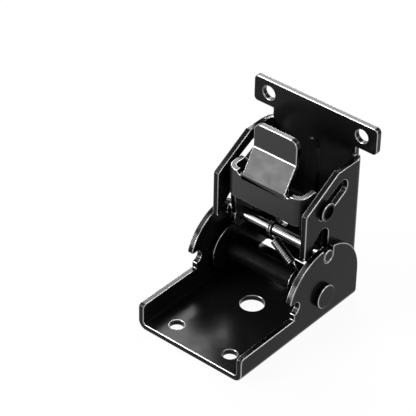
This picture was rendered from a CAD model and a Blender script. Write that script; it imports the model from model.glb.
# %% [markdown]
# # A folding shelf bracket in black paint
# This lesson dresses a finished CAD model of a folding bracket. What is left for Blender is what light
# falls on: rounded sheet edges, paint, wire, a floor, lamps and a camera.

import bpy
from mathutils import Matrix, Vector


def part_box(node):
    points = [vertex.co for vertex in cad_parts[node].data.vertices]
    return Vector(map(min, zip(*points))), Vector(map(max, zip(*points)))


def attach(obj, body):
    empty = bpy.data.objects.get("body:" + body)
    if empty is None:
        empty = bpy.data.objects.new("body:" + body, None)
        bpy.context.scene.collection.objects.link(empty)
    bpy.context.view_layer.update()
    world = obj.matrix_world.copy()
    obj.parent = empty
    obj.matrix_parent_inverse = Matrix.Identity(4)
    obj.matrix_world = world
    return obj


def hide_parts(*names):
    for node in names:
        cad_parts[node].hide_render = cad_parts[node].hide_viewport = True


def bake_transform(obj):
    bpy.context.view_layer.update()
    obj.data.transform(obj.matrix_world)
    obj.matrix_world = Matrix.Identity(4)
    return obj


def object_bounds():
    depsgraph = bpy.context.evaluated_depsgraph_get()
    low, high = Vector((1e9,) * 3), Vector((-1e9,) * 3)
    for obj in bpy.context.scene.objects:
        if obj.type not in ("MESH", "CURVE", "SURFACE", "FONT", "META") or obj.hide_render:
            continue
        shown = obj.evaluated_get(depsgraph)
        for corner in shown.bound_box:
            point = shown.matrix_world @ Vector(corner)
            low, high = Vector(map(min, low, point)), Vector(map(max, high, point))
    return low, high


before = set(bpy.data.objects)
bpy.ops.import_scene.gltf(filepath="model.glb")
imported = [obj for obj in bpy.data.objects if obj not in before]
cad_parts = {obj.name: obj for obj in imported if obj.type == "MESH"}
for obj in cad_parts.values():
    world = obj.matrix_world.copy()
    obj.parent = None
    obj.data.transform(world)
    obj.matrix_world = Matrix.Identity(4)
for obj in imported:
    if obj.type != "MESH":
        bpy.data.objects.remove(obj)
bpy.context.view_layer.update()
print("nodes:", sorted(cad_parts))

# %% The modules and a word for a millimetre
import math

import bmesh
import bpy
from mathutils import Matrix, Vector
from mathutils.bvhtree import BVHTree

mm = 0.001
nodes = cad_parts
print("the model has", len(nodes), "nodes")

# %% [markdown]
# ## Gloss paint
# The brackets are stamped steel under a thin coat of black gloss paint. Such paint is nearly black
# by itself, so almost all that is seen of it is reflection. Its surface isn't a mirror: it is a little
# wavy, like the peel of an orange, and that breaks up a highlight along an edge. One way is to paint an
# image of this; a noise in the object's own coordinates is smaller and has no seams, so it is used here.

# %% Helpers that make a finish and its waves
noise_low = 0.3
noise_high = 0.7


def noise_at(tree, scale, detail):
    """Noise that reads the object's own coordinates."""
    place = tree.nodes.new("ShaderNodeTexCoord")
    noise = tree.nodes.new("ShaderNodeTexNoise")
    noise.inputs["Scale"].default_value = scale
    noise.inputs["Detail"].default_value = detail
    tree.links.new(place.outputs["Object"], noise.inputs["Vector"])
    return noise


def new_finish(name, color, roughness, scale, detail, metallic=0.0, specular=0.5):
    """Make a finish whose roughness wanders between two values, in the patches of a noise."""
    finish = bpy.data.materials.new(name)
    finish.use_nodes = True
    tree = finish.node_tree
    shader = tree.nodes["Principled BSDF"]
    shader.inputs["Base Color"].default_value = (*color, 1)
    shader.inputs["Metallic"].default_value = metallic
    shader.inputs["Specular IOR Level"].default_value = specular
    patches = noise_at(tree, scale, detail)
    band = tree.nodes.new("ShaderNodeMapRange")
    band.inputs["From Min"].default_value = noise_low
    band.inputs["From Max"].default_value = noise_high
    band.inputs["To Min"].default_value = roughness[0]
    band.inputs["To Max"].default_value = roughness[1]
    tree.links.new(patches.outputs["Fac"], band.inputs["Value"])
    tree.links.new(band.outputs["Result"], shader.inputs["Roughness"])
    return finish


def add_peel(finish, scale, detail, height):
    """Bend the shading normal of a finish by a fine noise, as waves of the given height."""
    tree = finish.node_tree
    peel = noise_at(tree, scale, detail)
    bump = tree.nodes.new("ShaderNodeBump")
    bump.inputs["Strength"].default_value = 1.0
    bump.inputs["Distance"].default_value = height
    tree.links.new(peel.outputs["Fac"], bump.inputs["Height"])
    tree.links.new(bump.outputs["Normal"], tree.nodes["Principled BSDF"].inputs["Normal"])


print("roughness follows the noise from", noise_low, "to", noise_high)

# %% The gloss paint of the two brackets
gloss_paint = new_finish("black_gloss_paint", color=(0.006, 0.006, 0.0065), roughness=(0.16, 0.26),
                         scale=160, detail=3, specular=0.07)
add_peel(gloss_paint, scale=900, detail=2, height=0.006 * mm)
print("finish:", gloss_paint.name)

# %% [markdown]
# ## Satin paint on the lever
# The lever takes the light in broad soft patches where the brackets show sharp ones, so its coat is
# duller. The same recipe is used, with more roughness and a finer peel.

# %% The satin paint of the lever
satin_paint = new_finish("black_satin_paint", color=(0.010, 0.010, 0.011), roughness=(0.32, 0.42),
                         scale=220, detail=4, specular=0.32)
add_peel(satin_paint, scale=1400, detail=3, height=0.008 * mm)
print("finish:", satin_paint.name)

# %% [markdown]
# ## Paint on cut faces and rims
# Paint draws back from a sharp rim and dries thin there, so the steel shines through as a light line. The
# cut faces of the sheet carry a full coat and stay dark. A shader could look for edges by itself; here each
# kind of face gets a finish of its own, which needs no search and can be set by eye. Both are made as dark
# metals, because nearly all that shows of them is reflection.

# %% The paint on the sheet's cut faces and rims
cut_paint = new_finish("paint_on_cut_faces", color=(0.012, 0.012, 0.0123), roughness=(0.16, 0.24),
                       scale=300, detail=3, metallic=1.0)
rim_paint = new_finish("thin_paint_on_rims", color=(0.34, 0.34, 0.344), roughness=(0.16, 0.26),
                       scale=200, detail=2, metallic=1.0)
print("finishes:", cut_paint.name, rim_paint.name)

# %% [markdown]
# ## Pins and wire
# The shanks of the two rivets are dull black, the lock pin and the washers are plated and shine more than
# paint, and the spring is bright drawn wire. Plating and wire are metals, so their base colour only tints
# what they mirror.

# %% The finishes of the pins and the wire
dull_paint = new_finish("black_dull_paint", color=(0.002, 0.002, 0.0022), roughness=(0.42, 0.56),
                        scale=300, detail=3, specular=0.04)
pin_plate = new_finish("black_plated_pin", color=(0.12, 0.12, 0.123), roughness=(0.12, 0.2),
                       scale=500, detail=3, metallic=1.0)
wire_steel = new_finish("drawn_spring_wire", color=(0.24, 0.24, 0.245), roughness=(0.12, 0.2),
                        scale=700, detail=2, metallic=1.0)
print("finishes:", dull_paint.name, pin_plate.name, wire_steel.name)

# %% Give the lock pin and the washers their plating
plated = ("lock_pin", "guide_washer_left", "guide_washer_right")
for name in plated:
    layers = nodes[name].data.materials
    layers.clear()
    layers.append(pin_plate)
print("plated:", plated)

# %% [markdown]
# ## Sheet edges
# Stamped steel has no knife edges: the blank's rim is worn round by tumbling. Under black gloss that thin
# round rim is the brightest line there is. The model's edges are sharp, so each sheet part is copied, its
# loose triangles are joined, its flat faces are made whole, and a bevel rounds every edge that is sharper
# than a bend. The pressed rib of the leaf stays soft. The copy stands for the node.
#
# Where rims meet in a tight corner a bevel can throw a vertex off the part, so those few are drawn back to
# their neighbours. One way to keep flat faces flat beside a rim is to split the normals by hand; here a
# Weighted Normal modifier does it.

# %% A helper that turns a bmesh into a piece
large_face_weight = 100


def new_piece(name, shape, layers):
    """Turn a finished bmesh into a piece. A face's material_index counts the layers from 0."""
    mesh = bpy.data.meshes.new(name)
    shape.to_mesh(mesh)
    shape.free()
    for layer in layers:
        mesh.materials.append(layer)
    piece = bpy.data.objects.new(name, mesh)
    bpy.context.collection.objects.link(piece)
    return piece


def keep_flats(piece):
    """Let the large faces of a piece set its shading, and give back the modifier."""
    flats = piece.modifiers.new("flats", "WEIGHTED_NORMAL")
    flats.weight = large_face_weight
    return flats


print("large faces weigh", large_face_weight)

# %% A helper that finds the cut faces of a sheet
flat_angle = math.radians(1)
sharp_angle = math.radians(45)
cut_width = 2.6 * mm


def flat_patch(start, left):
    """The faces that lie flat with a first one, taken out of a set of faces."""
    patch = [start]
    for face in patch:
        for edge in face.edges:
            for other in edge.link_faces:
                if other in left and edge.calc_face_angle(0) < flat_angle:
                    left.remove(other)
                    patch.append(other)
    return patch


def cut_faces(shape):
    """Faces of the sheet's own thickness: between sharp edges, and hardly wider than the sheet is thick."""
    left = set(shape.faces)
    found = []
    while left:
        patch = flat_patch(left.pop(), left)
        area = sum(face.calc_area() for face in patch)
        edges = [edge for face in patch for edge in face.edges if edge.calc_face_angle(0) > sharp_angle]
        sharp_length = sum(edge.calc_length() for edge in edges)
        if 2 * area < cut_width * sharp_length:
            found += patch
    return found


print("a cut face is at most", round(cut_width / mm, 1), "mm wide")

# %% Helpers that find the edges with a rim and mark their corners
corner_length = 0.8 * mm
long_edge = 3 * corner_length
rib_depth = 18 * mm
rib_side = 5 * mm
rib_low = 25 * mm
rib_high = 66 * mm


def pressed(edge):
    """Whether an edge belongs to the rib that is pressed into the leaf, which has no rim."""
    centre = (edge.verts[0].co + edge.verts[1].co) / 2
    return centre.y > rib_depth and abs(centre.x) < rib_side and rib_low < centre.z < rib_high


def sharp_edges(shape):
    """The edges that are sharper than any bend, without those of the pressed rib."""
    return [edge for edge in shape.edges if edge.calc_face_angle(0) > sharp_angle and not pressed(edge)]


def mark_corners(shape):
    """Put a vertex near both ends of each long sharp edge, so that a corner's faces stay near the corner."""
    for edge in sharp_edges(shape):
        length = edge.calc_length()
        if length > long_edge:
            first, last = edge.verts
            cut = bmesh.utils.edge_split(edge, first, corner_length / length)[0]
            rest = edge if last in edge.verts else cut
            bmesh.utils.edge_split(rest, last, corner_length / (length - corner_length))


print("corners are", round(corner_length / mm, 1), "mm long")

# %% Helpers that keep a rim's corners on the part
rim_radius = 0.3 * mm
stray_limit = 0.35 * rim_radius
draw_back_rounds = 4


def thrown_out(verts, surface):
    """The vertices that lie further from a surface than the limit."""
    return [vert for vert in verts if surface.find_nearest(vert.co)[3] > stray_limit]


def draw_back(shape, surface):
    """Move each thrown-out vertex to the middle of its neighbours, and give back how many there were."""
    strays = thrown_out(shape.verts, surface)
    count = len(strays)
    for attempt in range(draw_back_rounds):
        left = set(strays)
        for vert in strays:
            near = [edge.other_vert(vert) for edge in vert.link_edges]
            near = [other.co for other in near if other not in left]
            if near:
                vert.co = sum(near, Vector()) / len(near)
        strays = thrown_out(strays, surface)
    return count


print("rims are", round(rim_radius / mm, 1), "mm wide")

# %% [markdown]
# ## The lever's tongue
# The tongue is one strip with two bends: a round one where it leaves the lever's plate, and a tight one
# below the thumb tab, where the paint is thin. The model has a small step at the foot. The foot could be
# built afresh; here the step is slid down the plate until the slope meets it, and that edge is rounded.

# %% The bends of the lever's tongue
plate_front = -6.3 * mm
step_height = 55.3 * mm
step_reach = 0.01 * mm
tongue_foot = 54.51 * mm
tongue_side = 9.95 * mm
foot_round = 1.1 * mm
foot_facets = 5
crease_low = 64.0 * mm
crease_high = 64.7 * mm
facing_front = -0.8
rim_layer = 2


def bend_tongue(shape):
    """Round the foot of the lever's tongue, and give the crease below its tab the finish of a rim."""
    step = [vert for vert in shape.verts if abs(vert.co.x) < tongue_side
            and abs(vert.co.y - plate_front) < step_reach and abs(vert.co.z - step_height) < step_reach]
    for vert in step:
        vert.co.z = tongue_foot
    shape.normal_update()
    bmesh.ops.dissolve_limit(shape, angle_limit=flat_angle, verts=shape.verts, edges=shape.edges)
    foot = [edge for edge in shape.edges if edge.verts[0] in step and edge.verts[1] in step]
    bmesh.ops.bevel(shape, geom=foot, offset=foot_round, segments=foot_facets, profile=0.5,
                    affect="EDGES", material=-1)
    shape.normal_update()
    for face in shape.faces:
        height = face.calc_center_median().z
        if crease_low < height < crease_high and face.normal.y < facing_front:
            face.material_index = rim_layer
    print("the tongue's foot had", len(step), "vertices on its step")


print("the tongue's foot comes down to", round(tongue_foot / mm, 2), "mm")

# %% A helper that copies a sheet part with rounded edges
join_reach = 0.002 * mm
whole_angle = math.radians(0.5)
rim_facets = 3
cut_layer = 1


def rounded_copy(name, node, body, coat):
    """Copy a node with its sharp edges rounded, riding on the same body."""
    shape = bmesh.new()
    shape.from_mesh(nodes[node].data)
    bmesh.ops.remove_doubles(shape, verts=shape.verts, dist=join_reach)
    bmesh.ops.dissolve_limit(shape, angle_limit=whole_angle, verts=shape.verts, edges=shape.edges)
    if node == "release_lever":
        bend_tongue(shape)
    for face in shape.faces:
        face.smooth = True
    for face in cut_faces(shape):
        face.material_index = cut_layer
    surface = BVHTree.FromBMesh(shape)
    mark_corners(shape)
    rounded = bmesh.ops.bevel(shape, geom=sharp_edges(shape), offset=rim_radius, segments=rim_facets,
                              profile=0.5, affect="EDGES", clamp_overlap=False, material=-1)
    for face in rounded["faces"]:
        face.material_index = rim_layer
    strays = draw_back(shape, surface)
    low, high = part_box(node)
    for vert in shape.verts:
        vert.co = [min(max(value, least), most) for value, least, most in zip(vert.co, low, high)]
    piece = new_piece(name, shape, (coat, cut_paint, rim_paint))
    keep_flats(piece)
    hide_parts(node)
    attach(piece, body)
    print(name, "has", len(piece.data.polygons), "faces, and", strays, "corners drawn back to the sheet")


# %% Base, leaf and lever with rounded edges
rounded_copy("painted_base", "base_bracket", "base", gloss_paint)
rounded_copy("painted_leaf", "upper_bracket", "leaf", gloss_paint)
rounded_copy("painted_lever", "release_lever", "lever", satin_paint)

# %% [markdown]
# ## Rivet heads
# The two rivets are painted with the brackets, so their heads look like them: dark and even, with a
# light line on the rounded rim. The faces could be picked by their place; here each is told apart by its
# slope. A head faces along the pin, the shank faces away from it, and a rim lies between the two.

# %% The rivets with light rims
head_slope = 0.93
round_slope = 0.25
round_layer = 1
head_layer = 2


def rimmed_rivet(name, node, body):
    """Copy a rivet that lies along X, with its rounded rims in the finish of the sheet's rims."""
    shape = bmesh.new()
    shape.from_mesh(nodes[node].data)
    bmesh.ops.remove_doubles(shape, verts=shape.verts, dist=join_reach)
    for face in shape.faces:
        slope = abs(face.normal.x)
        face.smooth = True
        if slope > head_slope:
            face.material_index = head_layer
        elif slope > round_slope:
            face.material_index = round_layer
    for edge in shape.edges:
        edge.smooth = edge.calc_face_angle(0) < sharp_angle
    rivet = new_piece(name, shape, (dull_paint, rim_paint, gloss_paint))
    keep_flats(rivet).keep_sharp = True
    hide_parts(node)
    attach(rivet, body)
    print(name, "has", len(rivet.data.polygons), "faces")


rimmed_rivet("pivot_rivet", "main_pivot_pin", "base")
rimmed_rivet("guide_rivet", "guide_pin", "lever")

# %% [markdown]
# ## Lock pin ends
# On the real bracket the lock pin lies in the notches of both ears, and its flat ends show there, level
# with the ears' faces. The model's pin stops inside the ears, so its two ends are added here. A cone with
# one radius at both ends is a cylinder, and a bevel rounds its rims.

# %% The ends of the lock pin
lock_low, lock_high = (Vector(corner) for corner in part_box("lock_pin"))
ear_high = Vector(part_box("base_bracket")[1])
pin_radius = (lock_high.z - lock_low.z) / 2
pin_centre = (lock_low + lock_high) / 2
stub_overlap = 0.6 * mm
stub_length = ear_high.x - lock_high.x + stub_overlap
stub_sides = 48
stub_round = 0.4 * mm
level_reach = 0.001 * mm
quad = 4
quarter_turn = Matrix.Rotation(math.radians(90), 4, "Y")
stubs = bmesh.new()
for side in (-1, 1):
    place = Matrix.Translation((side * (ear_high.x - stub_length / 2), pin_centre.y, pin_centre.z))
    bmesh.ops.create_cone(stubs, cap_ends=True, segments=stub_sides, radius1=pin_radius, radius2=pin_radius,
                          depth=stub_length, matrix=place @ quarter_turn)
rims = [edge for edge in stubs.edges if abs(edge.verts[0].co.x - edge.verts[1].co.x) < level_reach]
rounded = bmesh.ops.bevel(stubs, geom=rims, offset=stub_round, segments=rim_facets, profile=0.5,
                          affect="EDGES", material=-1)
for face in rounded["faces"]:
    face.material_index = round_layer
for face in stubs.faces:
    face.smooth = len(face.verts) == quad
lock_pin_ends = new_piece("lock_pin_ends", stubs, (gloss_paint, rim_paint))
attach(lock_pin_ends, "lever")
print("pin ends reach", round(ear_high.x / mm, 2), "mm")

# %% [markdown]
# ## Lock spring
# The spring is drawn wire: two turns round the lock pin, a straight run, close turns, and a loop round the
# pivot pin. A curve with a round section could draw it; a spin with a small step along its axis winds such
# turns straight into the mesh. The lower loop stays with the leaf, the upper one goes with the lever, and
# the turns between them are drawn apart.

# %% Helpers that wind the wire and draw it straight
wire_radius = 0.4 * mm
wire_sides = 10
steps_per_turn = 24


def wind(shape, start, centre, axis, turns, advance):
    """Spin a round section from a point about an axis, and move it along the axis by so much each turn."""
    away = (start - centre).normalized()
    facing = away.cross(axis).to_track_quat("Z", "Y").to_matrix().to_4x4()
    ring = bmesh.ops.create_circle(shape, cap_ends=False, segments=wire_sides, radius=wire_radius,
                                   matrix=Matrix.Translation(start) @ facing)
    steps = round(steps_per_turn * turns)
    edges = list({edge for vert in ring["verts"] for edge in vert.link_edges})
    bmesh.ops.spin(shape, geom=ring["verts"] + edges, cent=centre, axis=axis, angle=2 * math.pi * turns,
                   dvec=axis * (advance * turns / steps), steps=steps)


def straight(shape, start, end):
    """Round wire between two points."""
    run = end - start
    place = Matrix.Translation((start + end) / 2) @ run.to_track_quat("Z", "Y").to_matrix().to_4x4()
    bmesh.ops.create_cone(shape, cap_ends=True, segments=wire_sides, radius1=wire_radius,
                          radius2=wire_radius, depth=run.length, matrix=place)


print("the wire is", round(2 * wire_radius / mm, 1), "mm thick")

# %% Where the spring's loops and turns lie
pivot_low, pivot_high = (Vector(corner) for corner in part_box("main_pivot_pin"))
pivot_centre = (pivot_low + pivot_high) / 2
spring_low, spring_high = (Vector(corner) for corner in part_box("lock_spring"))
pivot_radius = 4.0 * mm
hook_room = 0.12 * mm
free_end = 3.2 * mm
top = Vector((spring_low.x + wire_radius, pin_centre.y, pin_centre.z))
low = Vector((spring_high.x - wire_radius, pivot_centre.y, pivot_centre.z))
drop = Vector((0, low.y - top.y, low.z - top.z)).normalized()
near_top = top + drop * (pin_radius + hook_room + wire_radius)
near_low = low - drop * (pivot_radius + hook_room + wire_radius)
way = (near_low - near_top).normalized()
coil_start = near_top + way * free_end
coil_end = near_low - way * free_end
print("the coil is", round((coil_end - coil_start).length / mm, 2), "mm long")

# %% Wind the spring
across = Vector((1, 0, 0))
upper_turns = 1.9
upper_advance = 1.0 * mm
lower_turns = 0.9
lower_advance = 0.5 * mm
coil_radius = 1.5 * mm
coil_turns = 13
coil_advance = (coil_end - coil_start).length / coil_turns
coil_side = way.cross(Vector((0, 1, 0))).normalized() * coil_radius
spring = bmesh.new()
wind(spring, near_top, top, across, upper_turns, upper_advance)
wind(spring, coil_start + coil_side, coil_start, way, coil_turns, coil_advance)
wind(spring, near_low, low, across, lower_turns, lower_advance)
straight(spring, near_top, coil_start + coil_side)
straight(spring, coil_end + coil_side, near_low)
open_ends = [edge for edge in spring.edges if edge.is_boundary]
bmesh.ops.holes_fill(spring, edges=open_ends, sides=wire_sides)
bmesh.ops.recalc_face_normals(spring, faces=spring.faces)
for face in spring.faces:
    face.smooth = len(face.verts) == quad
lock_spring_wire = new_piece("lock_spring_wire", spring, (wire_steel,))
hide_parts("lock_spring")
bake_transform(lock_spring_wire)
print("spring wire has", len(lock_spring_wire.data.polygons), "faces")

# %% [markdown]
# ## Floor
# The bracket stands on a plain pale floor. The floor is a large sheet a hair below the bracket. For
# the camera, and in mirrors, it is nearly white by itself, so the background stays white without more lamp
# light. The share that isn't so takes the bracket's shadow.

# %% Helpers that mix two shaders by the kind of ray
def seen_or_mirrored(tree):
    """One for rays from the camera, off a glossy surface or through glass, and nothing for the others."""
    path = tree.nodes.new("ShaderNodeLightPath")
    mirrored = tree.nodes.new("ShaderNodeMath")
    mirrored.operation = "MAXIMUM"
    tree.links.new(path.outputs["Is Glossy Ray"], mirrored.inputs[0])
    tree.links.new(path.outputs["Is Transmission Ray"], mirrored.inputs[1])
    either = tree.nodes.new("ShaderNodeMath")
    either.operation = "MAXIMUM"
    tree.links.new(path.outputs["Is Camera Ray"], either.inputs[0])
    tree.links.new(mirrored.outputs[0], either.inputs[1])
    return either.outputs[0]


def mix_into(output, tree, share, plain, bright):
    """Send a plain shader to an output, with a bright one over it by a share."""
    mix = tree.nodes.new("ShaderNodeMixShader")
    tree.links.new(share, mix.inputs[0])
    tree.links.new(plain.outputs[0], mix.inputs[1])
    tree.links.new(bright.outputs[0], mix.inputs[2])
    tree.links.new(mix.outputs[0], tree.nodes[output].inputs["Surface"])


print("helpers for the floor and the world are ready")

# %% The floor's paint
floor_grey = 0.85
floor_roughness = 0.9
glow_share = 0.94
floor_paint = bpy.data.materials.new("white_floor")
floor_paint.use_nodes = True
tree = floor_paint.node_tree
matt = tree.nodes["Principled BSDF"]
matt.inputs["Base Color"].default_value = (floor_grey, floor_grey, floor_grey, 1)
matt.inputs["Roughness"].default_value = floor_roughness
matt.inputs["Specular IOR Level"].default_value = 0.0
glow = tree.nodes.new("ShaderNodeEmission")
glow.inputs["Strength"].default_value = 1.0
share = tree.nodes.new("ShaderNodeMath")
share.operation = "MULTIPLY"
share.inputs[1].default_value = glow_share
tree.links.new(seen_or_mirrored(tree), share.inputs[0])
mix_into("Material Output", tree, share.outputs[0], matt, glow)
print("the floor glows by", glow_share)

# %% The floor
floor_half = 6.0
floor_drop = 0.02 * mm
floor_shape = bmesh.new()
bmesh.ops.create_grid(floor_shape, x_segments=1, y_segments=1, size=floor_half)
floor = new_piece("floor", floor_shape, (floor_paint,))
floor.location.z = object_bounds()[0][2] - floor_drop
print("floor at z =", round(floor.location.z, 6))

# %% [markdown]
# ## Light
# Black gloss shows its lamps rather than its colour, so each softbox is placed for the faces that mirror
# it into the camera: one low in front for the leaning part of the lever, one behind for the base plate,
# and one overhead, one at the right and one far behind for the rims. They stand close, so they can be
# small and still look wide from the bracket.

# %% Softboxes
lamp_target = Vector((0, 0, 40 * mm))


def softbox(name, toward, distance, width, height, radiance):
    """Area lamp in a direction from the bracket, turned to face it, whose surface has that radiance."""
    lamp = bpy.data.lights.new(name, "AREA")
    lamp.shape = "RECTANGLE"
    lamp.size = width
    lamp.size_y = height
    lamp.energy = radiance * math.pi * width * height
    holder = bpy.data.objects.new(name, lamp)
    away = Vector(toward).normalized()
    holder.location = lamp_target + away * distance
    holder.rotation_euler = away.to_track_quat("Z", "Y").to_euler()
    bpy.context.collection.objects.link(holder)
    print(name, "stands at", [round(value, 2) for value in holder.location])


softbox("front_softbox", (-0.49, -0.83, 0.26), distance=0.55, width=0.22, height=0.22, radiance=17)
softbox("top_softbox", (-0.52, -0.40, 0.757), distance=0.60, width=0.30, height=0.30, radiance=5)
softbox("back_softbox", (-0.52, 0.62, 0.59), distance=0.60, width=0.30, height=0.26, radiance=12)
softbox("side_softbox", (0.82, -0.04, 0.56), distance=0.60, width=0.30, height=0.30, radiance=4)
softbox("far_softbox", (0.59, 0.62, 0.52), distance=0.60, width=0.16, height=0.30, radiance=5)

# %% [markdown]
# ## World
# As a source of light the world is dim, so that the lamps shape the bracket. For the camera and in mirrors
# it is plain white, as the floor is, so no horizon shows.

# %% The world
sky_strength = 0.1
world = bpy.data.worlds.new("studio")
bpy.context.scene.world = world
world.use_nodes = True
tree = world.node_tree
sky = tree.nodes["Background"]
sky.inputs["Color"].default_value = (1, 1, 1, 1)
sky.inputs["Strength"].default_value = sky_strength
white = tree.nodes.new("ShaderNodeBackground")
white.inputs["Strength"].default_value = 1.0
mix_into("World Output", tree, seen_or_mirrored(tree), sky, white)
print("world strength", sky_strength)

# %% [markdown]
# ## Camera
# The view is from the front right, half a metre up and 0.63 m away along the floor. A long lens keeps the
# bracket's parallel edges nearly parallel, as a short one close by wouldn't.

# %% The camera
camera_place = Vector((384.6, -499.4, 500.2)) * mm
camera_yaw = math.radians(39.76)
camera_pitch = math.radians(36.13)
camera_roll = math.radians(1.13)
film_width = 36
lens_length = 184
nearest_seen = 0.01
look = Vector((-math.sin(camera_yaw) * math.cos(camera_pitch),
               math.cos(camera_yaw) * math.cos(camera_pitch),
               -math.sin(camera_pitch)))
level_right = Vector((math.cos(camera_yaw), math.sin(camera_yaw), 0))
level_up = level_right.cross(look)
right = level_right * math.cos(camera_roll) + level_up * math.sin(camera_roll)
up = level_up * math.cos(camera_roll) - level_right * math.sin(camera_roll)
lens = bpy.data.cameras.new("camera")
lens.sensor_width = film_width
lens.lens = lens_length
lens.clip_start = nearest_seen
camera = bpy.data.objects.new("camera", lens)
turn = Matrix((right, up, -look)).transposed().to_4x4()
camera.matrix_world = Matrix.Translation(camera_place) @ turn
bpy.context.collection.objects.link(camera)
bpy.context.scene.camera = camera
bpy.context.scene.view_settings.view_transform = "Standard"
print("camera at", [round(value, 4) for value in camera.location])
